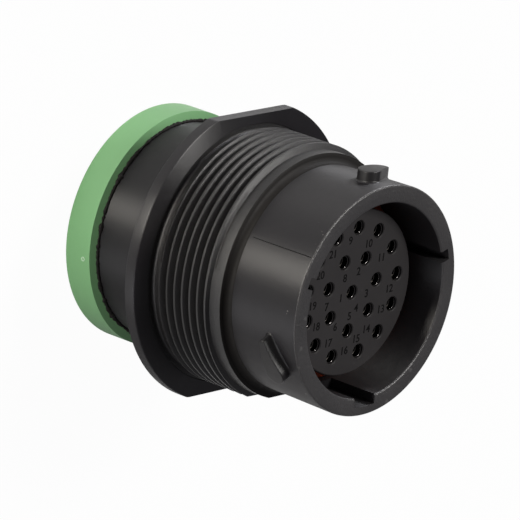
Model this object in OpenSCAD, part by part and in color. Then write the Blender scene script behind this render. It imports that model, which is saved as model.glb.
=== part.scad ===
// Circular receptacle connector with 21 socket contacts, for a round panel hole.
// +Z runs along the axis to the mating face, and +Y passes through the upper bayonet lug,
// opposite the wide keyway. The origin is the centre of the rear face of the retaining
// ring, on which the connector stands.

/* [Panel flange] */
// Radius of the panel flange
flange_r = 21.3; // [19.8:0.1:23.5]
// Thickness of the panel flange
flange_t = 1.8; // [1.2:0.1:3]
// Distance from the axis to each of the flange's two flats
flange_flat = 19.8; // [18.8:0.1:21]
// Chamfer on the flange's two round edges
flange_chamfer = 0.2; // [0.1:0.05:0.4]
// Width of the shallow recess in the flange's front face, outside the thread's crests
recess_margin = 0.2; // [0.1:0.05:0.6]
// Depth of that recess
recess_depth = 0.15; // [0.05:0.05:0.3]

/* [Panel thread] */
// Radius over the crests of the panel thread
thread_r = 18.256; // [17.9:0.002:18.6]
// Distance from one crest to the next
thread_pitch = 1.411; // [1.2:0.001:1.6]
// Number of full ridges behind the plain land
thread_ridges = 6; // [4:1:7]
// Distance from the flange's front face to the middle of the first crest
thread_start = 1.75; // [1.5:0.05:2.5]
// Length of the plain land in front of the last groove
land_len = 0.25; // [0.2:0.05:0.6]
// Radius of the plain band that the land steps down to
band_r = 17.5; // [17.4:0.05:17.7]
// Length of that band, up to the shoulder
band_len = 1.95; // [1.6:0.05:2.4]
// Distance from the axis to the flat along the bottom of the thread and the band
thread_flat = 16.7; // [16.5:0.05:17.1]
// Height of the shoulder's concave wall above the front barrel
shoulder_h = 1.35; // [1:0.05:1.6]
// Radius of the concave fillet where the relief meets the flange
relief_fillet = 0.4; // [0.2:0.05:0.6]

/* [Front barrel] */
// Length of the shell in front of the flange
nose_len = 25; // [22:0.1:28]
// Radius of the front barrel where it leaves the shoulder
barrel_root_r = 16.05; // [15.9:0.05:16.4]
// Growth of the front barrel's radius from the shoulder to the rim
barrel_draft = 0.25; // [0:0.05:0.4]
// Radius of the bore at the mouth
mouth_r = 13.76; // [13.5:0.02:14]
// Rounding of the rim's outer and inner edges
rim_round = 0.3; // [0.15:0.05:0.5]

/* [Bayonet lugs] */
// Number of lugs around the front barrel
lug_count = 3; // [2:1:3]
// Height of a lug's top above the root of the front barrel
lug_h = 1.75; // [1.2:0.05:2]
// Radius of a lug's round head
lug_head_r = 1.6; // [1.3:0.05:1.9]
// Radius of the narrow end that a lug's lead-in slope runs out to
lug_tail_r = 0.45; // [0.3:0.05:0.8]
// Distance around the barrel from the middle of the head to the middle of the narrow end
lug_reach = 4.7; // [4.2:0.1:6]
// Distance around the barrel from the lug's own line to the middle of its head
lug_offset = 0.2; // [0:0.05:1]
// Distance from the rim to the middle of a lug's head
lug_setback = 3.6; // [3:0.1:5]

/* [Keyways] */
// Width of the wide keyway, opposite the upper lug
wide_key_w = 4.2; // [3:0.1:5]
// Width of each narrow keyway
narrow_key_w = 1.65; // [1.2:0.05:2.2]
// Angle from the wide keyway to each narrow keyway
narrow_key_angle = 108; // [80:1:140]
// Radius of the keyway floors
keyway_r = 15.05; // [14.6:0.05:15.2]
// Length of the keyways, measured in from the rim
keyway_len = 8; // [6:0.1:8.2]

/* [Rear barrel] */
// Radius of the rear barrel
rear_r = 15.45; // [15.2:0.05:15.8]
// Length of the rear barrel between the flange and the retaining ring
rear_len = 10.59; // [9:0.01:12]
// Radius of the rear bore that takes the insert, the plate and the grommet
rear_bore_r = 14.2; // [14.2:0.02:14.4]
// Radius of the concave fillet between the rear barrel and the flange
rear_fillet = 0.5; // [0.3:0.1:0.8]

/* [Retaining ring] */
// Outer radius of the retaining ring
ring_r = 16.92; // [16.6:0.02:18]
// Length of the retaining ring, up to where it meets the rear barrel
ring_len = 4.95; // [4:0.05:6]
// Depth of the ring's front face from the rear barrel to its outer edge
ring_dish = 0.28; // [0.1:0.02:0.5]
// Depth of the socket that takes the shell's rear end
ring_socket = 1.2; // [0.8:0.1:1.6]
// Radius of the ring's rear opening
ring_opening_r = 13.3; // [13:0.1:13.6]
// Rounding of the ring's rear edges
ring_round = 0.35; // [0.2:0.05:0.6]

/* [Front insert] */
// Radius of the insert's front plug
insert_r = 11.8; // [11.6:0.05:12]
// Distance from the rim in to the insert's face
face_depth = 4.36; // [4.2:0.02:5]
// Length of the insert's wide rear body
insert_body_len = 5.3; // [4.8:0.1:6]
// Rounding of the insert's front edge
insert_round = 0.25; // [0.1:0.05:0.5]
// Radius of the hole that each contact's mouth shows through
cavity_r = 1.02; // [1:0.01:1.15]
// Radius of the inner ring of cavities
inner_ring_r = 5; // [4.9:0.05:5.2]
// Radius of the one inner cavity that stands in line with the wide keyway
stepped_cavity_r = 5.5; // [5:0.05:5.6]
// Radius of the outer ring of cavities
outer_ring_r = 9.2; // [9.1:0.05:9.3]
// Angle between neighbours in the outer ring, which leaves a wider gap at the wide keyway
outer_ring_angle = 27.17; // [26.8:0.01:27.5]

/* [Interface seal] */
// Distance from the insert's face down to the seal's front lip
seal_drop = 3.94; // [3.7:0.02:4.4]
// Length of the seal
seal_len = 4.7; // [4:0.1:5.5]
// Radius over the seal's outer ribs
seal_r = 13.6; // [13.3:0.02:13.66]
// Depth of the grooves between the seal's ribs
seal_groove = 0.5; // [0.3:0.05:0.8]
// Thickness of the shell's inner rib, on which the seal stands
rib_t = 2; // [1.5:0.1:2.5]

/* [Retention plate] */
// Thickness of the plate behind the insert
plate_t = 3.5; // [3:0.1:4.5]
// Width of the slot that parts each pair of retention fingers
finger_slot = 0.5; // [0.3:0.05:0.7]

/* [Wire grommet] */
// Distance from the connector's rear face in to the grommet's face
grommet_recess = 0.8; // [0.4:0.1:1.5]
// Radius of a wire hole at its sealing ribs
wire_neck_r = 0.95; // [0.8:0.05:1.1]
// Radius of a wire hole between its sealing ribs
wire_bulge_r = 1.45; // [1.35:0.05:1.6]
// Number of sealing ribs in each wire hole
wire_ribs = 3; // [2:1:4]
// Distance from one sealing rib to the next
wire_rib_pitch = 2; // [1.6:0.1:2.2]
// Height of the raised lip around each wire hole
wire_lip = 0.4; // [0.2:0.05:0.6]

/* [Contacts] */
// Radius of the socket's bore
socket_bore_r = 0.8; // [0.79:0.01:0.84]
// Outer radius of the socket's sleeve
socket_r = 0.97; // [0.94:0.01:0.97]
// Distance from the insert's face in to a contact's mouth
mouth_depth = 1.2; // [0.4:0.1:1.6]
// Depth of the socket's bore
socket_depth = 7.5; // [6:0.1:9]
// Overall length of a contact
contact_len = 20.8; // [19.8:0.1:22]
// Radius of the shoulder that locks a contact in place
collar_r = 1.6; // [1.5:0.05:1.65]
// Length of that shoulder
collar_len = 1; // [0.8:0.1:1.4]
// Distance from a contact's mouth to the front of its shoulder
collar_place = 10.6; // [10.2:0.1:11]
// Outer radius of the crimp barrel
crimp_r = 1.32; // [1.2:0.02:1.34]
// Radius of the crimp barrel's wire bore
crimp_bore_r = 0.86; // [0.8:0.02:0.95]
// Depth of the crimp barrel's wire bore
crimp_depth = 6.2; // [5.5:0.1:7]

/* [Fits] */
// Radial clearance between pieces that fit into each other
fit_gap = 0.05; // [0.03:0.01:0.08]

/* [Hidden] */
$fn = 128;
hole_fn = 48;
overcut = 1;

// A thread of this standard form is this share of its pitch deep, with these flat widths
thread_depth_share = 0.6134;
crest_share = 1 / 8;
groove_share = 1 / 4;
thread_root_r = thread_r - thread_depth_share * thread_pitch;
crest_half = crest_share * thread_pitch / 2;
groove_half = groove_share * thread_pitch / 2;

// Radii that stand on others
shoulder_r = barrel_root_r + shoulder_h;
barrel_rim_r = barrel_root_r + barrel_draft;
lug_top_r = barrel_root_r + lug_h;
recess_r = thread_r + recess_margin;

// Heights along the axis, from the rear face up
shell_back_z = ring_len - ring_socket;
flange_back_z = ring_len + rear_len;
flange_front_z = flange_back_z + flange_t;
recess_z = flange_front_z - recess_depth;
first_crest_z = flange_front_z + thread_start;
land_back_z = first_crest_z + thread_ridges * thread_pitch - crest_half;
land_front_z = land_back_z + land_len;
shoulder_z = land_front_z + band_len;
barrel_z = shoulder_z + shoulder_h;
rim_z = flange_front_z + nose_len;
lug_z = rim_z - lug_setback;
insert_face_z = rim_z - face_depth;
seal_front_z = insert_face_z - seal_drop;
rib_front_z = seal_front_z - seal_len;
rib_back_z = rib_front_z - rib_t;
insert_back_z = rib_back_z - insert_body_len;
plate_back_z = insert_back_z - plate_t;
contact_mouth_z = insert_face_z - mouth_depth;
collar_front_z = contact_mouth_z - collar_place;
collar_back_z = collar_front_z - collar_len;
contact_back_z = contact_mouth_z - contact_len;

// Angles, counted from +X towards +Y
upper_lug_angle = 90;
wide_key_angle = upper_lug_angle + 180;

// Cavities: number 1 on the axis, then the inner ring from the one in line with the wide
// keyway, then the outer ring from the one beside it
inner_count = 7;
outer_count = 13;
inner_step = 360 / inner_count;
inner_cavities = [
    for (i = [0 : inner_count - 1])
        let (angle = wide_key_angle + i * inner_step, r = i == 0 ? stepped_cavity_r : inner_ring_r)
            [r * cos(angle), r * sin(angle)]
];
outer_cavities = [
    for (i = [0 : outer_count - 1])
        let (angle = upper_lug_angle + (i - (outer_count - 1) / 2) * outer_ring_angle)
            [outer_ring_r * cos(angle), outer_ring_r * sin(angle)]
];
CAVITIES = concat([[0, 0]], inner_cavities, outer_cavities);

// Small forms that follow the sizes above
lead_in = 0.08;
lug_root = 0.5;
band_step_len = 0.15;
insert_flange_r = rear_bore_r - fit_gap;
finger_clear = 0.2;
finger_r = collar_r + fit_gap + finger_clear;
finger_root_r = finger_r - fit_gap;
finger_tip_r = collar_r;
drill_point = 0.5;
cavity_chamfer = 0.12;
arc_steps = 8;

function contact_name(i) = str("contact_", i < 9 ? "0" : "", i + 1);

// Points of an arc from one angle to another
function arc(center, r, from, to) = [
    for (i = [0 : arc_steps])
        let (a = from + (to - from) * i / arc_steps)
            [center[0] + r * cos(a), center[1] + r * sin(a)]
];

// Outline of one thread ridge, from its back groove to its front groove
function ridge(z) = [
    [thread_root_r, z - thread_pitch / 2],
    [thread_root_r, z - thread_pitch / 2 + groove_half],
    [thread_r, z - crest_half],
    [thread_r, z + crest_half],
    [thread_root_r, z + thread_pitch / 2 - groove_half]
];

// Outer outline of the shell, from its rear end up to the rim
shell_outer = concat(
    [[rear_r, shell_back_z]],
    arc([rear_r + rear_fillet, flange_back_z - rear_fillet], rear_fillet, 180, 90),
    [
        [flange_r - flange_chamfer, flange_back_z],
        [flange_r, flange_back_z + flange_chamfer],
        [flange_r, flange_front_z - flange_chamfer],
        [flange_r - flange_chamfer, flange_front_z],
        [recess_r, flange_front_z],
        [recess_r, recess_z]
    ],
    arc([thread_root_r + relief_fillet, recess_z + relief_fillet], relief_fillet, 270, 180),
    [for (i = [0 : thread_ridges - 1]) each ridge(first_crest_z + i * thread_pitch)],
    [
        [thread_root_r, land_back_z - thread_pitch / 2 + crest_half + groove_half],
        [thread_r, land_back_z],
        [thread_r, land_front_z],
        [band_r, land_front_z + band_step_len]
    ],
    arc([shoulder_r, barrel_z], shoulder_h, 270, 180),
    arc([barrel_rim_r - rim_round, rim_z - rim_round], rim_round, 0, 90)
);

// Inner outline of the shell, from the rim down to its rear end
shell_inner = concat(
    arc([mouth_r + rim_round, rim_z - rim_round], rim_round, 90, 180),
    [
        [mouth_r, rib_front_z],
        [insert_r + fit_gap, rib_front_z],
        [insert_r + fit_gap, rib_back_z],
        [rear_bore_r, rib_back_z],
        [rear_bore_r, shell_back_z]
    ]
);

module shell_body() {
    rotate_extrude() polygon(concat(shell_outer, shell_inner));
}

// Everything on the near side of the flange's two flats
module between_flats() {
    height = rim_z + 2 * overcut;
    translate([0, 0, height / 2 - overcut])
        cube([4 * flange_r, 2 * flange_flat, height], center = true);
}

// What the flat takes off the bottom of the thread and the band, from the recess to the barrel
module below_flat() {
    height = barrel_z - recess_z;
    reach = (thread_r + recess_r) / 2;
    intersection() {
        translate([0, 0, recess_z]) cylinder(r = reach, h = height);
        translate([-reach, -thread_flat - reach, recess_z]) cube([2 * reach, reach, height]);
    }
}

// Outline of a lug seen from outside, with x around the barrel and y along the axis: a round
// head, and a narrow end level with the head's rear side, joined by their common tangents
module lug_outline() {
    drop = lug_head_r - lug_tail_r;
    slope = 2 * atan(drop / lug_reach);
    head = [0, 0];
    tail = [-lug_reach, -drop];
    translate(head) circle(r = lug_head_r, $fn = hole_fn);
    translate(tail) circle(r = lug_tail_r, $fn = hole_fn);
    polygon([
        head + lug_head_r * [-sin(slope), cos(slope)],
        tail + lug_tail_r * [-sin(slope), cos(slope)],
        tail - [0, lug_tail_r],
        head - [0, lug_head_r]
    ]);
}

module lugs() {
    for (i = [0 : lug_count - 1])
        rotate(upper_lug_angle + i * 360 / lug_count)
            translate([0, lug_offset, lug_z]) rotate([90, 0, 90])
                linear_extrude(2 * lug_top_r) lug_outline();
}

// The lugs' round tops, which share the barrel's axis
module topped_lugs() {
    intersection() {
        lugs();
        difference() {
            translate([0, 0, barrel_z]) cylinder(r = lug_top_r, h = rim_z - barrel_z);
            translate([0, 0, barrel_z - overcut])
                cylinder(r = barrel_root_r - lug_root, h = rim_z - barrel_z + 2 * overcut);
        }
    }
}

// A slot with a curved floor, cut outwards from the bore and open at the rim
module keyway(angle, width) {
    intersection() {
        translate([0, 0, rim_z - keyway_len]) cylinder(r = keyway_r, h = keyway_len + overcut);
        rotate(angle) translate([mouth_r / 2, -width / 2, rim_z - keyway_len])
            cube([keyway_r, width, keyway_len + overcut]);
    }
}

module shell() {
    color([0.11, 0.11, 0.12]) difference() {
        union() {
            intersection() {
                shell_body();
                between_flats();
            }
            topped_lugs();
        }
        below_flat();
        keyway(wide_key_angle, wide_key_w);
        for (side = [-1, 1])
            keyway(wide_key_angle + side * narrow_key_angle, narrow_key_w);
        translate([0, 0, rib_front_z]) cylinder(r = mouth_r, h = keyway_len);
    }
}

// The ring closes the rear and takes the shell's end in its socket
module retaining_ring() {
    socket_r_out = rear_r + fit_gap;
    outline = concat(
        arc([ring_opening_r + ring_round, ring_round], ring_round, 180, 270),
        arc([ring_r - ring_round, ring_round], ring_round, 270, 360),
        [
            [ring_r, ring_len - ring_dish],
            [socket_r_out, ring_len],
            [socket_r_out, shell_back_z],
            [ring_opening_r, shell_back_z]
        ]
    );
    color([0.2, 0.62, 0.27]) rotate_extrude() polygon(outline);
}

// One cavity of the insert: a front hole for the socket, wider behind for the shoulder
module cavity_cut() {
    translate([0, 0, collar_front_z - overcut])
        cylinder(r = cavity_r, h = insert_face_z - collar_front_z + 2 * overcut, $fn = hole_fn);
    translate([0, 0, insert_back_z - overcut])
        cylinder(r = finger_r, h = collar_front_z - insert_back_z + overcut, $fn = hole_fn);
    translate([0, 0, insert_face_z - cavity_chamfer])
        cylinder(r1 = cavity_r, r2 = cavity_r + 2 * cavity_chamfer, h = 2 * cavity_chamfer, $fn = hole_fn);
}

module front_insert() {
    outline = concat(
        [
            [0, insert_back_z],
            [insert_flange_r, insert_back_z],
            [insert_flange_r, rib_back_z],
            [insert_r, rib_back_z]
        ],
        arc([insert_r - insert_round, insert_face_z - insert_round], insert_round, 0, 90),
        [[0, insert_face_z]]
    );
    color([0.16, 0.16, 0.17]) difference() {
        rotate_extrude() polygon(outline);
        for (place = CAVITIES)
            translate(place) cavity_cut();
    }
}

// A soft ring around the insert's plug, with three rounded ribs that face the bore
module interface_seal() {
    inner_r = insert_r + fit_gap;
    ribs = 3;
    rib_pitch = seal_len / ribs;
    outline = concat(
        [[inner_r, seal_front_z], [inner_r, rib_front_z]],
        [
            for (i = [0 : ribs * arc_steps])
                let (turn = 360 * i / arc_steps)
                    [
                        seal_r - seal_groove * (1 + cos(turn)) / 2,
                        rib_front_z + i * rib_pitch / arc_steps
                    ]
        ]
    );
    color([0.75, 0.2, 0.1]) rotate_extrude() polygon(outline);
}

// A pair of sprung fingers that lean in behind a contact's shoulder
module fingers() {
    height = collar_back_z - insert_back_z;
    translate([0, 0, insert_back_z]) difference() {
        cylinder(r1 = finger_root_r, r2 = finger_tip_r, h = height, $fn = hole_fn);
        translate([-finger_r, -finger_slot / 2, 0])
            cube([2 * finger_r, finger_slot, height + overcut]);
    }
}

module retention_plate() {
    color([0.2, 0.2, 0.22]) difference() {
        union() {
            translate([0, 0, plate_back_z]) cylinder(r = insert_flange_r, h = plate_t);
            for (place = CAVITIES)
                translate(place) fingers();
        }
        for (place = CAVITIES)
            translate(concat(place, plate_back_z - overcut))
                cylinder(r = crimp_r + fit_gap, h = contact_len, $fn = hole_fn);
    }
}

// One wire hole: a ribbed entry from the rear, then room for the crimp barrel
module wire_cut() {
    entry_z = grommet_recess - wire_lip;
    crimp_room_z = contact_back_z - overcut;
    ribbed_top = entry_z + (wire_ribs + 1 / 2) * wire_rib_pitch;
    outline = concat(
        [[0, entry_z - overcut], [wire_bulge_r, entry_z - overcut], [wire_bulge_r, entry_z]],
        [
            for (i = [0 : wire_ribs - 1])
                each [
                    [wire_neck_r, entry_z + (i + 1 / 2) * wire_rib_pitch],
                    [wire_bulge_r, entry_z + (i + 1) * wire_rib_pitch]
                ]
        ],
        [
            [wire_neck_r, ribbed_top],
            [wire_neck_r, crimp_room_z],
            [crimp_r + fit_gap, crimp_room_z],
            [crimp_r + fit_gap, plate_back_z + overcut],
            [0, plate_back_z + overcut]
        ]
    );
    rotate_extrude($fn = hole_fn) polygon(outline);
}

// The soft block that seals the wires, held at its step by the retaining ring
module wire_grommet() {
    tail_r = ring_opening_r - fit_gap;
    lip_r = wire_bulge_r + wire_lip;
    color([0.72, 0.22, 0.12]) difference() {
        union() {
            translate([0, 0, shell_back_z])
                cylinder(r = insert_flange_r, h = plate_back_z - shell_back_z);
            translate([0, 0, grommet_recess])
                cylinder(r = tail_r, h = shell_back_z - grommet_recess);
            for (place = CAVITIES)
                translate(concat(place, grommet_recess - wire_lip))
                    cylinder(r1 = wire_bulge_r + wire_lip / 4, r2 = lip_r, h = wire_lip, $fn = hole_fn);
        }
        for (place = CAVITIES)
            translate(place) wire_cut();
    }
}

// A machined socket contact: sleeve and bore in front, locking shoulder, crimp barrel behind
module contact(i) {
    outline = [
        [0, contact_mouth_z - socket_depth - drill_point],
        [socket_bore_r, contact_mouth_z - socket_depth],
        [socket_bore_r, contact_mouth_z - lead_in],
        [socket_bore_r + lead_in, contact_mouth_z],
        [socket_r, contact_mouth_z],
        [socket_r, collar_front_z],
        [collar_r, collar_front_z],
        [collar_r, collar_back_z],
        [crimp_r, collar_back_z],
        [crimp_r, contact_back_z],
        [crimp_bore_r, contact_back_z],
        [crimp_bore_r, contact_back_z + crimp_depth],
        [0, contact_back_z + crimp_depth + drill_point]
    ];
    color([0.78, 0.76, 0.7])
        translate(CAVITIES[i]) rotate_extrude($fn = hole_fn) polygon(outline);
}

shell();
retaining_ring();
front_insert();
interface_seal();
retention_plate();
wire_grommet();
for (i = [0 : len(CAVITIES) - 1])
    contact(i);
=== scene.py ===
import math

import bmesh
import bpy
from mathutils import Matrix, Vector, noise


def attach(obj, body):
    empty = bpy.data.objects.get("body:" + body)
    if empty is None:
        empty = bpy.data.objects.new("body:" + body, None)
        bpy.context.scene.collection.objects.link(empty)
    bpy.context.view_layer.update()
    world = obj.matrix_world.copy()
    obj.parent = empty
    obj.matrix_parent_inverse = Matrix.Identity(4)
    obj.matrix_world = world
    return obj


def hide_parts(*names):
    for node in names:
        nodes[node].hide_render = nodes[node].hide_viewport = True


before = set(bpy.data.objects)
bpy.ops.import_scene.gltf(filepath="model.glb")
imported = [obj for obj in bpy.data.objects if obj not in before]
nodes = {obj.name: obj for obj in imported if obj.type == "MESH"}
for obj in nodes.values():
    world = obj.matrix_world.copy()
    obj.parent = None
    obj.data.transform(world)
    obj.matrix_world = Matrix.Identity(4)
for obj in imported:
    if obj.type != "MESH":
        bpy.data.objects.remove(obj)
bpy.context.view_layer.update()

# Sizes of the connector in millimetres, as the frame has them
FLANGE_R, FLANGE_FLAT, FLANGE_CHAMFER = 21.3, 19.8, 0.2
THREAD_R, PITCH = 18.256, 1.411
THREAD_ROOT_R = THREAD_R - 0.6134 * PITCH
RECESS_R, RECESS_DEPTH = THREAD_R + 0.2, 0.15
BARREL_ROOT_R, BARREL_RIM_R, SHOULDER_H, FOOT_R = 16.05, 16.3, 1.35, 0.95
MOUTH_R, RIM_ROUND = 13.76, 0.3
REAR_R, REAR_BORE_R, REAR_FILLET = 15.45, 14.2, 0.5
INSERT_R, FIT = 11.8, 0.05
SHELL_BACK_Z, FLANGE_BACK_Z, FLANGE_FRONT_Z = 3.75, 15.54, 17.34
LAND_FRONT_Z, SHOULDER_Z, BARREL_Z, RIM_Z = 27.718, 29.668, 31.018, 42.34
BAND_R, THREAD_FLAT = 17.5, 16.7
RIB_FRONT_Z, RIB_BACK_Z = 29.34, 27.34
INSERT_FACE_Z, SEAL_FRONT_Z = 37.98, 34.04
LUG_TOP_R, LUG_Z, LUG_OFFSET = 17.8, 38.74, 0.2
LUG_HEAD_R, LUG_TAIL_R, LUG_REACH = 1.6, 0.45, 4.7
KEYWAY_R, KEYWAY_LEN = 15.05, 8.0
RING_LEN, RING_R = 4.95, 16.92
OUTER_RING_R, OUTER_STEP = 9.2, 27.17
INNER_RING_R, STEPPED_R = 5.0, 5.5
SEAL_R, SEAL_GROOVE = 13.6, 0.5
CONTACT_MOUTH_Z, CONTACT_BACK_Z, PLATE_BACK_Z = 36.78, 15.98, 18.54
HOOD_FRONT_Z, HOOD_R, HOOD_BORE_R, HOOD_LIP = INSERT_FACE_Z - 0.35, 0.985, 0.865, 0.055
GROMMET_BACK_Z, RING_OPENING_R, WIRE_LIP = 0.8, 13.3, 0.4
WIRE_NECK_R, WIRE_BULGE_R, CRIMP_ROOM_R = 0.95, 1.45, 1.37
LUG_COUNT, UPPER_LUG_ANGLE, SEAM_ANGLE = 3, 90, 30
LUG_STEP = 360 / LUG_COUNT
WIDE_KEY_ANGLE, WIDE_KEY_WIDTH = 270, 4.2
NARROW_KEY_STEP, NARROW_KEY_WIDTH = 108, 1.65
MM_PER_METRE = 1000.0

# How many steps make a full turn: on the shell, on the soft pieces and on a small hole
STEPS, SOFT_STEPS, HOLE_STEPS = 256, 128, 24

# The thread's groove: its flats, its first turn as measured, its start and its run-out
GROOVE_FLAT, CREST_FLAT, THREAD_RELIEF = PITCH / 8, PITCH * 0.13, 0.75
FIRST_GROOVE_Z, FIRST_GROOVE_ANGLE, TURNS_ABOVE = FLANGE_FRONT_Z + 2.4855, 188.0, 5
THREAD_START_ANGLE, RUN_OUT_ANGLE, RUN_OUT_LIFT = 169.0, 5.0, 0.9

# Where each cavity's number stands: its distance from the axis and its angle
NUMBER_PLACES = {
    1: (2.3, 193), 2: (3.0, 73), 3: (3.1, 349), 4: (2.7, 297), 5: (3.4, 270), 6: (5.3, 239),
    7: (5.2, 195), 8: (2.9, 129), 9: (7.7, 101.5), 10: (7.0, 70.5), 11: (6.8, 38),
    12: (7.8, 355.5), 13: (7.3, 332.5), 14: (7.0, 303.5), 15: (7.2, 285.7), 16: (8.3, 267.8),
    17: (7.7, 240), 18: (7.8, 210), 19: (8.0, 185.5), 20: (7.8, 154), 21: (7.8, 128.5),
}

# Where the barrel's nicks lie: angle, height and size
NICK_PLACES = (
    (132.1, 39.9, 0.03), (136.2, 41.3, 0.035), (137.6, 41.8, 0.05),
    (143.1, 41.6, 0.03), (153.7, 41.6, 0.035), (177.8, 40.7, 0.09),
    (179.2, 40.6, 0.05), (225.1, 41.5, 0.08), (226.4, 41.3, 0.05),
)


def arc(centre, radius, start, stop, count=8):
    """Points of an arc from a start to a stop angle in degrees."""
    return [
        (
            centre[0] + radius * math.cos(math.radians(start + (stop - start) * i / count)),
            centre[1] + radius * math.sin(math.radians(start + (stop - start) * i / count)),
        )
        for i in range(count + 1)
    ]


def outline_edges(bm, points):
    """A closed outline of (radius, height) points in the plane of the axis."""
    verts = [bm.verts.new((r, 0.0, z)) for r, z in points]
    edges = [bm.edges.new((verts[i - 1], verts[i])) for i in range(len(verts))]
    return verts + edges


def turn_outline(bm, points, steps=STEPS):
    """Turns an outline into a full ring about the axis."""
    made = outline_edges(bm, points)
    bmesh.ops.spin(
        bm, geom=made, cent=(0, 0, 0), axis=(0, 0, 1), angle=math.tau, steps=steps, use_merge=True
    )


def shade(mesh, sharp):
    """Smooths a mesh but for the edges that are sharper than an angle in degrees."""
    mesh.shade_smooth()
    mesh.set_sharp_from_angle(angle=math.radians(sharp))


def to_object(bm, name, sharp=35.0, closed=True):
    """Makes a bmesh in millimetres an object in metres, with a closed one's faces outwards."""
    bmesh.ops.remove_doubles(bm, verts=bm.verts, dist=1e-4)
    if closed:
        bmesh.ops.recalc_face_normals(bm, faces=bm.faces)
    bmesh.ops.scale(bm, vec=(1 / MM_PER_METRE,) * 3, verts=bm.verts)
    mesh = bpy.data.meshes.new(name)
    bm.to_mesh(mesh)
    bm.free()
    shade(mesh, sharp)
    piece = bpy.data.objects.new(name, mesh)
    bpy.context.scene.collection.objects.link(piece)
    return piece


def carve(piece, cutter, sharp=35.0):
    """Takes the cutter's volume out of the piece and removes the cutter."""
    cut = piece.modifiers.new("cut", "BOOLEAN")
    cut.operation = "DIFFERENCE"
    cut.solver = "EXACT"
    cut.object = cutter
    seen = piece.evaluated_get(bpy.context.evaluated_depsgraph_get())
    mesh = bpy.data.meshes.new_from_object(seen)
    piece.modifiers.clear()
    old = piece.data
    piece.data = mesh
    bpy.data.meshes.remove(old)
    bpy.data.objects.remove(cutter)
    mesh.name = piece.name
    shade(mesh, sharp)
    return piece


def join_into(piece, others):
    """Puts the meshes of the other pieces into the first one."""
    bm = bmesh.new()
    bm.from_mesh(piece.data)
    for other in others:
        bm.from_mesh(other.data)
        bpy.data.objects.remove(other)
    bm.to_mesh(piece.data)
    bm.free()
    return piece


def turn_about_axis(bm, verts, angle):
    """Turns vertices about the connector's axis by an angle in degrees."""
    turn = Matrix.Rotation(math.radians(angle), 3, "Z")
    bmesh.ops.rotate(bm, cent=(0, 0, 0), matrix=turn, verts=verts)


def barrel_radius(z):
    """Radius of the front barrel, which widens a little towards its rim."""
    share = (z - BARREL_Z) / (RIM_Z - RIM_ROUND - BARREL_Z)
    return BARREL_ROOT_R + (BARREL_RIM_R - BARREL_ROOT_R) * share


def groove_height(angle):
    """Height of the thread groove's middle at an angle that may pass 360 degrees."""
    return FIRST_GROOVE_Z + TURNS_ABOVE * PITCH + PITCH * (angle - FIRST_GROOVE_ANGLE) / 360.0


def thread_groove(bm):
    """One helical groove, swept from the flange's relief up to where it runs out at the land."""
    last = THREAD_START_ANGLE + 360.0
    turns = (groove_height(last) - (FLANGE_FRONT_Z + THREAD_RELIEF)) / PITCH
    steps = int(turns * STEPS)
    first = last - 360.0 * steps / STEPS
    z = groove_height(first)
    half, gap = PITCH / 2, 0.002
    root, crest = THREAD_ROOT_R - 0.01, THREAD_R
    soft, over = 0.12, 0.6
    points = [
        (root, z - GROOVE_FLAT),
        (root, z + GROOVE_FLAT),
        (crest - soft, z + half - CREST_FLAT - 0.5 * soft),
        (crest, z + half - CREST_FLAT + 0.3 * soft),
        (crest + over, z + half - gap),
        (crest + over, z - half + gap),
        (crest, z - half + CREST_FLAT - 0.3 * soft),
        (crest - soft, z - half + CREST_FLAT + 0.5 * soft),
    ]
    verts = [bm.verts.new((r, 0.0, h)) for r, h in points]
    face = bm.faces.new(verts)
    turn_about_axis(bm, verts, first)
    swept = bmesh.ops.spin(
        bm,
        geom=[face],
        cent=(0, 0, 0),
        axis=(0, 0, 1),
        dvec=(0, 0, PITCH / STEPS),
        angle=math.radians(360.0 * steps / STEPS),
        steps=steps,
        use_merge=False,
    )
    last_face = [g for g in swept["geom_last"] if isinstance(g, bmesh.types.BMFace)]
    faded = bmesh.ops.extrude_face_region(bm, geom=last_face)
    bmesh.ops.delete(bm, geom=last_face, context="FACES_ONLY")
    tip = [g for g in faded["geom"] if isinstance(g, bmesh.types.BMVert)]
    turn_about_axis(bm, tip, RUN_OUT_ANGLE)
    lift = 1.0 + RUN_OUT_LIFT / THREAD_R
    bmesh.ops.scale(bm, vec=(lift, lift, 1.0), verts=tip)
    bmesh.ops.translate(bm, vec=(0, 0, PITCH * RUN_OUT_ANGLE / 360), verts=tip)


def flange_flats(bm):
    """Two blocks that cut the flange's flats."""
    thick, wide, middle = 10, 60, 20
    for side in (-1, 1):
        made = bmesh.ops.create_cube(bm, size=1.0)["verts"]
        bmesh.ops.scale(bm, vec=(wide, thick, wide), verts=made)
        place = (0, side * (FLANGE_FLAT + thick / 2), middle)
        bmesh.ops.translate(bm, vec=place, verts=made)


def curved_block(bm, angle, width, near, far, low, high):
    """A block from a flat inner side out to a curved one, turned to an angle about the axis."""
    half = math.degrees(math.asin(width / 2 / far))
    outline = arc((0, 0), far, -half, half, 16)
    if far * math.cos(math.radians(half)) > near + 0.01:
        outline += [(near, width / 2), (near, -width / 2)]
    verts = [bm.verts.new((x, y, low)) for x, y in outline]
    face = bm.faces.new(verts)
    raised = bmesh.ops.extrude_face_region(bm, geom=[face])["geom"]
    top = [g for g in raised if isinstance(g, bmesh.types.BMVert)]
    bmesh.ops.translate(bm, vec=(0, 0, high - low), verts=top)
    turn_about_axis(bm, verts + top, angle)


def keyway_block(bm, angle, width):
    """The block that cuts one keyway outwards from the bore, open at the rim."""
    near, high = MOUTH_R - 1.5, RIM_Z + 1.0
    curved_block(bm, angle, width, near, KEYWAY_R, RIM_Z - KEYWAY_LEN, high)


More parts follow.
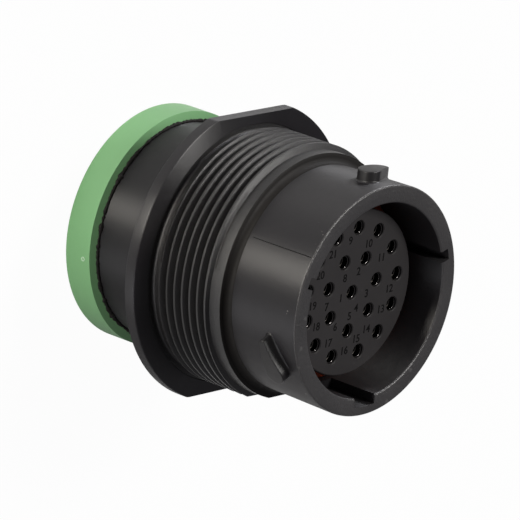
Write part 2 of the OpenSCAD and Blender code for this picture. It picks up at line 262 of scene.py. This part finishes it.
def thread_flat_block(bm):
    """The segment that the flat takes off the bottom of the thread and the band."""
    far, low = THREAD_R + 0.1, FLANGE_FRONT_Z - RECESS_DEPTH
    width = 2 * math.sqrt(far**2 - THREAD_FLAT**2)
    curved_block(bm, WIDE_KEY_ANGLE, width, THREAD_FLAT, far, low, BARREL_Z)


def shell_outline():
    """Half of the shell's section, up its outside from the rear and back down its bore."""
    chamfer, chamfer_r = FLANGE_CHAMFER, FLANGE_R - FLANGE_CHAMFER
    recess_z = FLANGE_FRONT_Z - RECESS_DEPTH
    outer = [(REAR_R, SHELL_BACK_Z)]
    outer += arc((REAR_R + REAR_FILLET, FLANGE_BACK_Z - REAR_FILLET), REAR_FILLET, 180, 90)
    outer += arc((chamfer_r, FLANGE_BACK_Z + chamfer), chamfer, 270, 360, 3)
    outer += arc((chamfer_r, FLANGE_FRONT_Z - chamfer), chamfer, 0, 90, 3)
    outer += [(RECESS_R + 0.04, FLANGE_FRONT_Z), (RECESS_R, FLANGE_FRONT_Z - 0.03)]
    outer += [(RECESS_R - 0.05, recess_z)]
    outer += arc((THREAD_ROOT_R + 0.4, recess_z + 0.4), 0.4, 270, 180)
    outer += [(THREAD_ROOT_R, FLANGE_FRONT_Z + 1.0), (THREAD_R - 0.05, FLANGE_FRONT_Z + 1.5)]
    outer += [(THREAD_R, FLANGE_FRONT_Z + 1.58)]
    outer += arc((THREAD_R - 0.08, LAND_FRONT_Z - 0.05), 0.08, 0, 80, 3)
    outer += arc((BAND_R + 0.1, LAND_FRONT_Z + 0.2), 0.1, 250, 180, 3)
    shoulder_r = BARREL_ROOT_R + SHOULDER_H
    outer += arc((shoulder_r + 0.01, SHOULDER_Z - 0.05), 0.05, 0, 90, 3)
    outer += [(shoulder_r - 0.02, SHOULDER_Z - 0.03), (shoulder_r - 0.07, SHOULDER_Z + 0.005)]
    outer += arc((BARREL_ROOT_R + FOOT_R, SHOULDER_Z + FOOT_R), FOOT_R, 264, 180, 14)
    outer += arc((BARREL_RIM_R - RIM_ROUND, RIM_Z - RIM_ROUND), RIM_ROUND, 0, 90, 5)
    inner = arc((MOUTH_R + RIM_ROUND, RIM_Z - RIM_ROUND), RIM_ROUND, 90, 180, 5)
    inner += [
        (MOUTH_R, RIB_FRONT_Z),
        (INSERT_R + FIT, RIB_FRONT_Z),
        (INSERT_R + FIT, RIB_BACK_Z),
        (REAR_BORE_R, RIB_BACK_Z),
        (REAR_BORE_R, SHELL_BACK_Z),
    ]
    return outer + inner


def lug_loop(spread, shrink=1.0):
    """Points of the lug's outline, spread outwards or shrunk to the line between its two ends."""
    drop = LUG_HEAD_R - LUG_TAIL_R
    lean = 2 * math.degrees(math.atan(drop / LUG_REACH))
    head = arc((0, 0), (LUG_HEAD_R + spread) * shrink, -90, 90 + lean, 28)
    tail = arc((-LUG_REACH, -drop), (LUG_TAIL_R + spread) * shrink, 90 + lean, 270, 14)
    ramp = [blend_points(head[-1], tail[0], k / 8) for k in range(1, 8)]
    base = [blend_points(tail[-1], head[0], k / 8) for k in range(1, 8)]
    return head + ramp + tail + base


def blend_points(a, b, share):
    """The point that lies a share of the way from one point to another."""
    return (a[0] + (b[0] - a[0]) * share, a[1] + (b[1] - a[1]) * share)


def lug(bm, angle):
    """One bayonet lug: a fillet at its foot, straight walls, a rounded edge and a curved top."""
    foot, edge, sunk = 0.3, 0.14, -0.25
    height = LUG_TOP_R - barrel_radius(LUG_Z)
    rings = [(foot, 1.0, sunk)]
    for i in range(6):
        a = math.radians(90 * i / 5)
        rings.append((foot - foot * math.sin(a), 1.0, foot - foot * math.cos(a) - 0.01))
    for i in range(5):
        a = math.radians(90 * i / 4)
        rings.append((-edge + edge * math.cos(a), 1.0, height - edge + edge * math.sin(a)))
    for k in (0.85, 0.7, 0.5, 0.3, 0.12, 0.0):
        rings.append((-edge, k, height))
    before = None
    made = []
    for spread, shrink, rise in rings:
        loop = []
        for x, y in lug_loop(spread, shrink):
            u, z = x + LUG_OFFSET, y + LUG_Z
            ground = barrel_radius(z)
            r = ground + rise * (LUG_TOP_R - ground) / height if rise > 0.5 else ground + rise
            loop.append(bm.verts.new((math.sqrt(r * r - u * u), u, z)))
        made += loop
        edges = [bm.edges.new((loop[i - 1], loop[i])) for i in range(len(loop))]
        if before:
            bmesh.ops.bridge_loops(bm, edges=before + edges)
        else:
            bm.faces.new(loop)
        before = edges
    bmesh.ops.remove_doubles(bm, verts=made, dist=1e-4)
    turn_about_axis(bm, [v for v in made if v.is_valid], angle)


def mould_seam(bm, angle):
    """The fine raised line that two mould slides leave along the barrel."""
    deep, wide, sunk, soft = 0.12, 0.1, 0.02, 0.03
    start, length = BARREL_Z + 0.2, RIM_Z - 0.5 - BARREL_Z
    made = bmesh.ops.create_cube(bm, size=1.0)["verts"]
    bmesh.ops.scale(bm, vec=(deep, wide, length), verts=made)
    for v in made:
        z = start + length / 2 + v.co.z
        v.co = Vector((barrel_radius(z) - sunk + v.co.x, v.co.y, z))
    edges = list({e for v in made for e in v.link_edges})
    done = bmesh.ops.bevel(
        bm, geom=edges, offset=soft, affect="EDGES", segments=2, profile=0.5, material=-1
    )
    verts = {v for f in done["faces"] for v in f.verts} | {v for v in made if v.is_valid}
    turn_about_axis(bm, list(verts), angle)


def make_shell():
    """The shell: a turned body, the flat cut before the groove and the keyways, and the lugs."""
    bm = bmesh.new()
    turn_outline(bm, shell_outline())
    body = to_object(bm, "shell_moulding")
    bm = bmesh.new()
    thread_flat_block(bm)
    carve(body, to_object(bm, "flat_cutter"))
    bm = bmesh.new()
    thread_groove(bm)
    flange_flats(bm)
    keyway_block(bm, WIDE_KEY_ANGLE, WIDE_KEY_WIDTH)
    for side in (-1, 1):
        keyway_block(bm, WIDE_KEY_ANGLE + side * NARROW_KEY_STEP, NARROW_KEY_WIDTH)
    carve(body, to_object(bm, "shell_cutters"))
    bm = bmesh.new()
    for i in range(LUG_COUNT):
        lug(bm, UPPER_LUG_ANGLE + LUG_STEP * i)
        mould_seam(bm, SEAM_ANGLE + LUG_STEP * i)
    details = to_object(bm, "lugs_and_seams", 40)
    return join_into(body, [details])


def make_seal():
    """The soft ring round the insert's plug, with three rounded ribs and rounded lips."""
    back_z, inner_r, soft = RIB_FRONT_Z, INSERT_R + FIT, 0.22
    groove_r, count, rib_count = SEAL_R - SEAL_GROOVE, 48, 3
    lip_r, lip = groove_r - 0.12, 0.01
    length = SEAL_FRONT_Z - back_z
    outline = arc((inner_r + soft, back_z + soft), soft, 180, 270, 4)
    ribs = []
    for i in range(1, count):
        share = i / count
        bulge = 0.5 * (1 - math.cos(math.tau * rib_count * share))
        ribs.append((groove_r + SEAL_GROOVE * bulge, back_z + length * share))
    outline += [(lip_r, back_z + lip)] + ribs + [(lip_r, SEAL_FRONT_Z - lip)]
    outline += arc((inner_r + soft, SEAL_FRONT_Z - soft), soft, 90, 180, 4)
    bm = bmesh.new()
    turn_outline(bm, outline, SOFT_STEPS)
    return to_object(bm, "seal_ribs", 50)


def cavity_places():
    """Centres of the cavities: one on the axis, seven on an inner ring, the rest on an outer."""
    inner, outer = 7, 13
    places = [(0.0, 0.0)]
    for i in range(inner):
        places.append((STEPPED_R if i == 0 else INNER_RING_R, WIDE_KEY_ANGLE + i * 360 / inner))
    for i in range(outer):
        places.append((OUTER_RING_R, UPPER_LUG_ANGLE + (i - outer // 2) * OUTER_STEP))
    return [
        (r * math.cos(math.radians(a)), r * math.sin(math.radians(a))) for r, a in places
    ]


def turned_at(bm, points, place, steps=HOLE_STEPS):
    """Turns a closed outline about an axis that stands at a cavity's place."""
    before = set(bm.verts)
    turn_outline(bm, points, steps)
    verts = [v for v in bm.verts if v not in before]
    bmesh.ops.translate(bm, vec=(place[0], place[1], 0), verts=verts)


def make_grommet():
    """The soft block with a ribbed hole and a raised lip for each wire."""
    soft, tail_r, body_r = 0.35, RING_OPENING_R - FIT, REAR_BORE_R - FIT
    axis_r, over, edge = 0.001, 0.8, 0.1
    outline = [(axis_r, PLATE_BACK_Z)]
    outline += arc((body_r - soft, PLATE_BACK_Z - soft), soft, 90, 0, 4)
    outline += arc((body_r - edge, SHELL_BACK_Z + edge), edge, 0, -90, 3)
    outline += [(tail_r, SHELL_BACK_Z)]
    outline += arc((tail_r - soft, GROMMET_BACK_Z + soft), soft, 0, -90, 4)
    outline += [(axis_r, GROMMET_BACK_Z)]
    bm = bmesh.new()
    turn_outline(bm, outline, SOFT_STEPS)
    block = to_object(bm, "grommet_block", 50)
    entry, swing = GROMMET_BACK_Z - WIRE_LIP, WIRE_BULGE_R - WIRE_NECK_R
    count, ribs, rib_step = 40, 3.5, 2
    hole = [(axis_r, entry - over), (WIRE_BULGE_R, entry - over), (WIRE_BULGE_R, entry)]
    for i in range(1, count + 1):
        turn = ribs * i / count
        waist = 0.5 * (1 - math.cos(math.tau * turn))
        hole.append((WIRE_BULGE_R - swing * waist, entry + rib_step * turn))
    hole += [(WIRE_NECK_R, CONTACT_BACK_Z - 1), (CRIMP_ROOM_R, CONTACT_BACK_Z - over)]
    hole += [(CRIMP_ROOM_R, PLATE_BACK_Z + over), (axis_r, PLATE_BACK_Z + over)]
    cutters = bmesh.new()
    for place in cavity_places():
        turned_at(cutters, hole, place)
    carve(block, to_object(cutters, "wire_hole_cutters"), 50)
    round_r, rooted = 0.19, GROMMET_BACK_Z + 0.3
    foot_r = WIRE_BULGE_R + 0.46
    lip = [(WIRE_BULGE_R + 0.01, rooted)]
    lip += arc((WIRE_BULGE_R + 0.2, entry + round_r), round_r, 180, 360, 6)
    lip += [(foot_r, GROMMET_BACK_Z + 0.05), (foot_r, rooted)]
    rims = bmesh.new()
    for place in cavity_places():
        turned_at(rims, lip, place)
    return join_into(block, [to_object(rims, "wire_lips", 50)])


def make_hoods():
    """The thin rounded hood that stands round each socket's mouth."""
    low = CONTACT_MOUTH_Z
    middle, half = (HOOD_R + HOOD_BORE_R) / 2, (HOOD_R - HOOD_BORE_R) / 2
    rounded = arc((middle, HOOD_FRONT_Z - half), half, 0, 180, 8)
    outline = [(HOOD_R, low)] + rounded + [(HOOD_BORE_R, low)]
    bm = bmesh.new()
    for place in cavity_places():
        turned_at(bm, outline, place, 40)
    return to_object(bm, "socket_hoods", 60)


def make_numbers():
    """The cavity numbers beside their holes, as thin raised strokes on the insert's face, near black
    as the painted shade of engraved numbers.
    """
    digit_size, stroke, rise = 1.6, 0.02, 0.005
    bm = bmesh.new()
    for number, (radius, azimuth) in NUMBER_PLACES.items():
        curve = bpy.data.curves.new("number", "FONT")
        curve.body = str(number)
        curve.size = digit_size
        curve.offset = stroke
        curve.align_x = "CENTER"
        curve.align_y = "CENTER"
        curve.resolution_u = 3
        curve.extrude = stroke
        holder = bpy.data.objects.new("number", curve)
        bpy.context.scene.collection.objects.link(holder)
        seen = holder.evaluated_get(bpy.context.evaluated_depsgraph_get())
        mesh = bpy.data.meshes.new_from_object(seen)
        a = math.radians(azimuth)
        place = (radius * math.cos(a), radius * math.sin(a), INSERT_FACE_Z + rise)
        mesh.transform(Matrix.Translation(place))
        bm.from_mesh(mesh)
        bpy.data.meshes.remove(mesh)
        bpy.data.objects.remove(holder)
        bpy.data.curves.remove(curve)
    return to_object(bm, "cavity_numbers", 30)


def make_weld_bead():
    """The ragged bead of black flash that welding squeezed out between ring and rear barrel."""
    around, across, mean, least, flat = 900, 10, 0.22, 0.04, 1.3
    mid_r, mid_z = REAR_R + 0.12, RING_LEN + 0.02
    bm = bmesh.new()
    turn_outline(bm, arc((mid_r, mid_z), mean, 0, 360 - 360 / across, across - 1), around)
    for v in bm.verts:
        a = math.atan2(v.co.y, v.co.x)
        b = math.atan2(v.co.z - mid_z, math.hypot(v.co.x, v.co.y) - mid_r)
        row = round(b / math.tau * across) % across
        place = Vector((math.cos(a), math.sin(a), 0.0))
        swell = mean + 0.2 * noise.noise(place * 9) + 0.14 * noise.noise(place * 31)
        ripple = 0.1 * noise.noise(place * 64 + Vector((0, 0, 3.1 * row)))
        ragged = max(swell + ripple, least)
        r = mid_r + ragged * math.cos(b) * flat
        v.co = Vector((r * math.cos(a), r * math.sin(a), mid_z + ragged * math.sin(b)))
    return to_object(bm, "weld_bead", 60)


def make_gate_mark():
    """The small raised ring that the mould's gate left on the green ring's side."""
    mark_r, wire_r, azimuth, height = 0.26, 0.08, 187.9, 3.47
    bm = bmesh.new()
    turn_outline(bm, arc((mark_r, 0.0), wire_r, 0, 330, 10), 20)
    place = Matrix.Rotation(math.radians(azimuth), 4, "Z")
    place = place @ Matrix.Translation((RING_R, 0, height))
    place = place @ Matrix.Rotation(math.radians(90), 4, "Y")
    bmesh.ops.transform(bm, matrix=place, verts=bm.verts)
    return to_object(bm, "gate_mark", 60)


def make_nicks():
    """Tiny pale burrs and scuffs on the barrel and along its rim."""
    shape = Matrix.Diagonal((0.35, 1.0, 1.6, 1.0))
    bm = bmesh.new()
    for azimuth, z, size in NICK_PLACES:
        place = Matrix.Rotation(math.radians(azimuth), 4, "Z")
        place = place @ Matrix.Translation((barrel_radius(z), 0, z))
        bmesh.ops.create_icosphere(bm, subdivisions=1, radius=size, matrix=place @ shape)
    return to_object(bm, "barrel_nicks", 60)


def material(name):
    """A new material with its node tree and its main shader."""
    made = bpy.data.materials.new(name)
    made.use_nodes = True
    tree = made.node_tree
    return made, tree, tree.nodes["Principled BSDF"]


def node(tree, kind, **values):
    """A new node with some of its settings."""
    made = tree.nodes.new(kind)
    for key, value in values.items():
        setattr(made, key, value)
    return made


def mould_grain_group():
    """Fine grain, soft mottling and small specks of moulded plastic."""
    group = bpy.data.node_groups.new("mould_grain", "ShaderNodeTree")
    face = group.interface
    for label, value in (("Scale", 900.0), ("Specks", 0.3), ("Mottle", 0.5)):
        s = face.new_socket(name=label, in_out="INPUT", socket_type="NodeSocketFloat")
        s.default_value = value
    for label in ("Height", "Mottling", "Speck"):
        face.new_socket(name=label, in_out="OUTPUT", socket_type="NodeSocketFloat")
    into = group.nodes.new("NodeGroupInput")
    out = group.nodes.new("NodeGroupOutput")
    place = group.nodes.new("ShaderNodeTexCoord")
    fine = group.nodes.new("ShaderNodeTexNoise")
    fine.inputs["Detail"].default_value = 4
    fine.inputs["Roughness"].default_value = 0.65
    broad = group.nodes.new("ShaderNodeTexNoise")
    broad.inputs["Scale"].default_value = 140
    broad.inputs["Detail"].default_value = 3
    spots = group.nodes.new("ShaderNodeTexVoronoi")
    spots.inputs["Scale"].default_value = 420
    near = group.nodes.new("ShaderNodeMapRange")
    near.inputs["From Min"].default_value = 0.05
    near.inputs["From Max"].default_value = 0.16
    near.inputs["To Min"].default_value = 1.0
    near.inputs["To Max"].default_value = 0.0
    pick = node(group, "ShaderNodeMath", operation="GREATER_THAN")
    tint = group.nodes.new("ShaderNodeSeparateColor")
    pick.inputs[1].default_value = 0.8
    both, strong, mix = (
        node(group, "ShaderNodeMath", operation="MULTIPLY") for _ in range(3)
    )
    link = group.links.new
    for tex in (fine, broad, spots):
        link(place.outputs["Object"], tex.inputs["Vector"])
    link(into.outputs["Scale"], fine.inputs["Scale"])
    link(spots.outputs["Distance"], near.inputs["Value"])
    link(spots.outputs["Color"], tint.inputs["Color"])
    link(tint.outputs["Red"], pick.inputs[0])
    link(near.outputs["Result"], both.inputs[0])
    link(pick.outputs[0], both.inputs[1])
    link(both.outputs[0], strong.inputs[0])
    link(into.outputs["Specks"], strong.inputs[1])
    link(broad.outputs["Fac"], mix.inputs[0])
    link(into.outputs["Mottle"], mix.inputs[1])
    link(fine.outputs["Fac"], out.inputs["Height"])
    link(mix.outputs[0], out.inputs["Mottling"])
    link(strong.outputs[0], out.inputs["Speck"])
    return group


GRAIN = mould_grain_group()


def moulded(
    name, colour, pale, rough, rough_range, bump,
    scale=900.0, specks=0.3, mottle=0.5, gloss=0.5, turned=0.0, depth=0.00005
):
    """Moulded plastic: a base colour, a paler one in its specks and mottling, and a fine grain.

    A turned finish stretches its highlights around the axis, and depth is the grain's in metres.
    """
    made, tree, surface = material(name)
    link = tree.links.new
    grain = tree.nodes.new("ShaderNodeGroup")
    grain.node_tree = GRAIN
    grain.inputs["Scale"].default_value = scale
    grain.inputs["Specks"].default_value = specks
    grain.inputs["Mottle"].default_value = mottle
    tone = node(tree, "ShaderNodeMix", data_type="RGBA")
    tone.inputs["A"].default_value = (*colour, 1)
    tone.inputs["B"].default_value = (*pale, 1)
    total = node(tree, "ShaderNodeMath", operation="ADD", use_clamp=True)
    link(grain.outputs["Mottling"], total.inputs[0])
    link(grain.outputs["Speck"], total.inputs[1])
    link(total.outputs[0], tone.inputs["Factor"])
    link(tone.outputs["Result"], surface.inputs["Base Color"])
    spread = node(tree, "ShaderNodeMapRange")
    spread.inputs["To Min"].default_value = rough - rough_range
    spread.inputs["To Max"].default_value = rough + rough_range
    link(grain.outputs["Height"], spread.inputs["Value"])
    link(spread.outputs["Result"], surface.inputs["Roughness"])
    bumps = tree.nodes.new("ShaderNodeBump")
    bumps.inputs["Strength"].default_value = bump
    bumps.inputs["Distance"].default_value = depth
    link(grain.outputs["Height"], bumps.inputs["Height"])
    link(bumps.outputs["Normal"], surface.inputs["Normal"])
    surface.inputs["Specular IOR Level"].default_value = gloss
    if turned:
        around = node(tree, "ShaderNodeTangent", direction_type="RADIAL", axis="Z")
        link(around.outputs["Tangent"], surface.inputs["Tangent"])
        surface.inputs["Anisotropic"].default_value = turned
        surface.inputs["Anisotropic Rotation"].default_value = 0.25
    return made


black_shell = moulded(
    "black_glass_filled_nylon", (0.0045, 0.0037, 0.0049), (0.017, 0.015, 0.017), 0.43, 0.07,
    0.3, gloss=0.78, turned=0.88
)
black_thread = moulded(
    "black_thread_plastic", (0.0035, 0.003, 0.0034), (0.016, 0.015, 0.015), 0.4, 0.14, 0.9,
    scale=5600.0, specks=0.9, gloss=0.9, depth=0.00007
)
# The rim is the shell's own black made lighter, a painted sheen where the flat rim face catches
# light; its specks are the moulding's grain.
rim_painted_sheen = moulded(
    "rim_plastic_painted_sheen", (0.024, 0.0225, 0.024), (0.085, 0.083, 0.082), 0.38, 0.12, 0.9,
    scale=2200.0, specks=0.9, gloss=0.9, depth=0.0001
)
black_lug = moulded(
    "black_lug_plastic", (0.006, 0.0055, 0.0062), (0.018, 0.017, 0.018), 0.42, 0.06, 0.3
)
black_flash = moulded(
    "black_weld_flash", (0.006, 0.0055, 0.005), (0.016, 0.012, 0.01), 0.62, 0.1, 0.5, gloss=0.3
)
# Matte near-black strokes: painted shade for the engraved cavity numbers and for the dark line along
# the mould seam.
painted_shade_ink = moulded(
    "painted_shade_ink", (0.003, 0.003, 0.003), (0.006, 0.006, 0.006), 0.75, 0.05, 0.1, gloss=0.15
)
black_insert = moulded(
    "black_insert_plastic", (0.025, 0.0228, 0.0238), (0.05, 0.047, 0.048), 0.5, 0.08, 0.35, gloss=0.4
)
plate_plastic = moulded(
    "plate_plastic", (0.014, 0.014, 0.016), (0.03, 0.03, 0.032), 0.5, 0.08, 0.3
)
green_plastic = moulded(
    "green_ring_plastic", (0.21, 0.455, 0.205), (0.25, 0.5, 0.25), 0.36, 0.06, 0.15, specks=0.2
)
green_scar = moulded("pale_green_scar", (0.5, 0.72, 0.5), (0.7, 0.85, 0.7), 0.4, 0.05, 0.2)
pale_scar = moulded("pale_scuff", (0.2, 0.19, 0.18), (0.35, 0.34, 0.33), 0.5, 0.1, 0.3)
seal_rubber = moulded(
    "orange_red_silicone", (0.30, 0.035, 0.008), (0.38, 0.06, 0.015), 0.42, 0.08, 0.2, mottle=0.4
)


def metal(name, colour, smooth, dull):
    """Bare or plated metal whose colour and roughness vary with its grain."""
    made, tree, surface = material(name)
    link = tree.links.new
    grain = tree.nodes.new("ShaderNodeGroup")
    grain.node_tree = GRAIN
    grain.inputs["Scale"].default_value = 2600
    tone = node(tree, "ShaderNodeMix", data_type="RGBA")
    tone.inputs["A"].default_value = (*colour, 1)
    tone.inputs["B"].default_value = (*[c * 0.8 for c in colour], 1)
    link(grain.outputs["Mottling"], tone.inputs["Factor"])
    link(tone.outputs["Result"], surface.inputs["Base Color"])
    surface.inputs["Metallic"].default_value = 1.0
    spread = node(tree, "ShaderNodeMapRange")
    spread.inputs["To Min"].default_value = smooth
    spread.inputs["To Max"].default_value = dull
    link(grain.outputs["Height"], spread.inputs["Value"])
    link(spread.outputs["Result"], surface.inputs["Roughness"])
    return made


contact_metal = metal("plated_copper_alloy", (0.12, 0.11, 0.1), 0.3, 0.5)
# The hood's metal is near black as painted shade inside the cavities; only its lip takes the
# brighter metal that catches the lamps.
hood_painted_shade = metal("hood_sleeve_painted_shade", (0.012, 0.011, 0.01), 0.35, 0.45)
lip_metal = metal("bright_hood_lip", (0.2, 0.19, 0.185), 0.1, 0.16)


def dress(piece, finish):
    """Gives a piece one finish instead of those that it has."""
    piece.data.materials.clear()
    piece.data.materials.append(finish)


for name, piece in nodes.items():
    if name.startswith("contact_"):
        dress(piece, contact_metal)
dress(nodes["retaining_ring"], green_plastic)
dress(nodes["front_insert"], black_insert)
dress(nodes["retention_plate"], plate_plastic)


# The finishes of the shell's zones, in the order in which its mesh lists them
SHELL_FINISHES = {
    "body": black_shell,
    "thread": black_thread,
    "lug": black_lug,
    # The seam takes the near-black strokes, a painted shade line along the parting step.
    "seam": painted_shade_ink,
    "foot": black_flash,
    # The rim zone takes the lighter painted sheen.
    "rim": rim_painted_sheen,
}


def shell_zone(x, y, z):
    """Names the zone of the shell that a face's centre lies in."""
    r, edge = math.hypot(x, y), SHOULDER_Z - 0.02
    if FLANGE_FRONT_Z - 0.2 < z < edge and BARREL_ROOT_R + 0.04 < r < RECESS_R:
        return "thread"
    if edge < z < edge + FOOT_R and r > BARREL_ROOT_R:
        return "foot"
    if z > RIM_Z - 0.6 * RIM_ROUND:
        return "rim"
    if BARREL_Z < z < RIM_Z - 0.4 and r > barrel_radius(z) + 0.03:
        half_step = LUG_STEP / 2
        from_seam = math.degrees(math.atan2(y, x)) - SEAM_ANGLE + half_step
        near_seam = abs(from_seam % LUG_STEP - half_step) < 0.35
        return "seam" if near_seam and r < LUG_TOP_R - 1 else "lug"
    return "body"


def finish_piece(piece, finish, slot, *stands_for):
    """Dresses a piece, hides the parts that it replaces and puts it on the root body; its slot is
    not used.
    """
    dress(piece, finish)
    if stands_for:
        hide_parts(*stands_for)
    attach(piece, "root")


shell = make_shell()
finish_piece(shell, black_shell, "shell", "shell")
for finish in list(SHELL_FINISHES.values())[1:]:
    shell.data.materials.append(finish)
zones = list(SHELL_FINISHES)
for face in shell.data.polygons:
    face.material_index = zones.index(shell_zone(*(face.center * MM_PER_METRE)))
finish_piece(make_seal(), seal_rubber, "silicone", "interface_seal")
finish_piece(make_grommet(), seal_rubber, "silicone", "wire_grommet")
hoods = make_hoods()
finish_piece(hoods, hood_painted_shade, "contact")
# The lip faces take the bright metal; the rest of the hood keeps the near-black painted shade.
hoods.data.materials.append(lip_metal)
for face in hoods.data.polygons:
    on_lip = face.center.z * MM_PER_METRE > HOOD_FRONT_Z - HOOD_LIP
    face.material_index = 1 if on_lip else 0
finish_piece(make_gate_mark(), green_scar, "ring")
finish_piece(make_nicks(), pale_scar, "shell")
finish_piece(make_numbers(), painted_shade_ink, "insert")
finish_piece(make_weld_bead(), black_flash, "shell")

# The camera's place in metres, its lens and its directions, fitted to the photo
CAMERA_PLACE, LENS, SENSOR_WIDTH = (-0.60165, 0.23067, 0.53673), 415.45, 36.0
NEAREST, FARTHEST = 0.05, 20.0
RIGHT = Vector((0.670186, 0.105298, 0.734686))
UP = Vector((0.139584, 0.954339, -0.264109))
FORWARD = Vector((0.728950, -0.279553, -0.624886))
eye = bpy.data.cameras.new("photo_camera")
eye.lens = LENS
eye.sensor_width = SENSOR_WIDTH
eye.clip_start = NEAREST
eye.clip_end = FARTHEST
camera = bpy.data.objects.new("photo_camera", eye)
turn = Matrix((RIGHT, UP, -FORWARD)).transposed().to_4x4()
camera.matrix_world = Matrix.Translation(CAMERA_PLACE) @ turn
bpy.context.scene.collection.objects.link(camera)
bpy.context.scene.camera = camera

# How much of plain white the floor shows to the camera and to gloss, and its size and height
CAMERA_SHARE, GLOSS_SHARE = 0.97, 0.13
FLOOR_SIZE, FLOOR_Z = 6000.0, -0.02

# Lamps stand this far from a point at the connector's middle, in metres
LAMP_DISTANCE, AIM_Z = 0.9, 0.021
SKY_LEVEL, SKY_COLOUR = 0.15, (0.96, 0.94, 1.0, 1)

def make_floor():
    """A pale floor that is near white to the camera, dim in gloss, and keeps a faint shadow."""
    bm = bmesh.new()
    bmesh.ops.create_grid(bm, x_segments=1, y_segments=1, size=FLOOR_SIZE)
    bmesh.ops.translate(bm, vec=(0, 0, FLOOR_Z), verts=bm.verts)
    floor = to_object(bm, "floor", closed=False)
    made, tree, surface = material("floor_paper")
    surface.inputs["Base Color"].default_value = (0.82, 0.82, 0.82, 1)
    surface.inputs["Roughness"].default_value = 0.9
    surface.inputs["Specular IOR Level"].default_value = 0.1
    glow = node(tree, "ShaderNodeEmission")
    glow.inputs["Color"].default_value = (1, 1, 1, 1)
    glow.inputs["Strength"].default_value = 1.0
    path = tree.nodes.new("ShaderNodeLightPath")
    seen = node(tree, "ShaderNodeMath", operation="MULTIPLY")
    seen.inputs[1].default_value = CAMERA_SHARE
    mirrored = node(tree, "ShaderNodeMath", operation="MULTIPLY")
    mirrored.inputs[1].default_value = GLOSS_SHARE
    share = node(tree, "ShaderNodeMath", operation="ADD", use_clamp=True)
    mix = tree.nodes.new("ShaderNodeMixShader")
    link = tree.links.new
    link(path.outputs["Is Camera Ray"], seen.inputs[0])
    link(path.outputs["Is Glossy Ray"], mirrored.inputs[0])
    link(seen.outputs[0], share.inputs[0])
    link(mirrored.outputs[0], share.inputs[1])
    link(share.outputs[0], mix.inputs["Fac"])
    link(surface.outputs["BSDF"], mix.inputs[1])
    link(glow.outputs[0], mix.inputs[2])
    link(mix.outputs[0], tree.nodes["Material Output"].inputs["Surface"])
    dress(floor, made)


def softbox(name, azimuth, elevation, size, level, colour):
    """A flat lamp that faces the connector and lights it with the given irradiance."""
    a, e = math.radians(azimuth), math.radians(elevation)
    direction = Vector((math.cos(e) * math.cos(a), math.cos(e) * math.sin(a), math.sin(e)))
    lamp = bpy.data.lights.new(name, "AREA")
    lamp.shape = "RECTANGLE"
    lamp.size, lamp.size_y = size
    lamp.energy = level * math.pi * LAMP_DISTANCE**2
    lamp.color = colour
    holder = bpy.data.objects.new(name, lamp)
    holder.location = Vector((0, 0, AIM_Z)) + direction * LAMP_DISTANCE
    holder.rotation_mode = "QUATERNION"
    holder.rotation_quaternion = direction.to_track_quat("Z", "Y")
    bpy.context.scene.collection.objects.link(holder)


make_floor()
softbox("key_box", 158, 0, (0.34, 0.14), 2.8, (1.0, 0.95, 0.87))
softbox("high_box", 62, 60, (0.25, 0.25), 2.0, (1.0, 0.98, 0.95))
softbox("top_box", 46, 6, (0.22, 0.16), 0.95, (0.96, 0.96, 1.0))
softbox("fill_box", 208, 6, (0.36, 0.16), 0.38, (0.96, 0.96, 1.0))

world = bpy.data.worlds.new("studio")
bpy.context.scene.world = world
world.use_nodes = True
sky = world.node_tree
back = sky.nodes["Background"]
path = sky.nodes.new("ShaderNodeLightPath")
level = node(sky, "ShaderNodeMix", data_type="FLOAT")
level.inputs["A"].default_value = SKY_LEVEL
level.inputs["B"].default_value = 1.0
sky.links.new(path.outputs["Is Camera Ray"], level.inputs["Factor"])
sky.links.new(level.outputs["Result"], back.inputs["Strength"])
back.inputs["Color"].default_value = SKY_COLOUR

bpy.context.scene.view_settings.view_transform = "Standard"
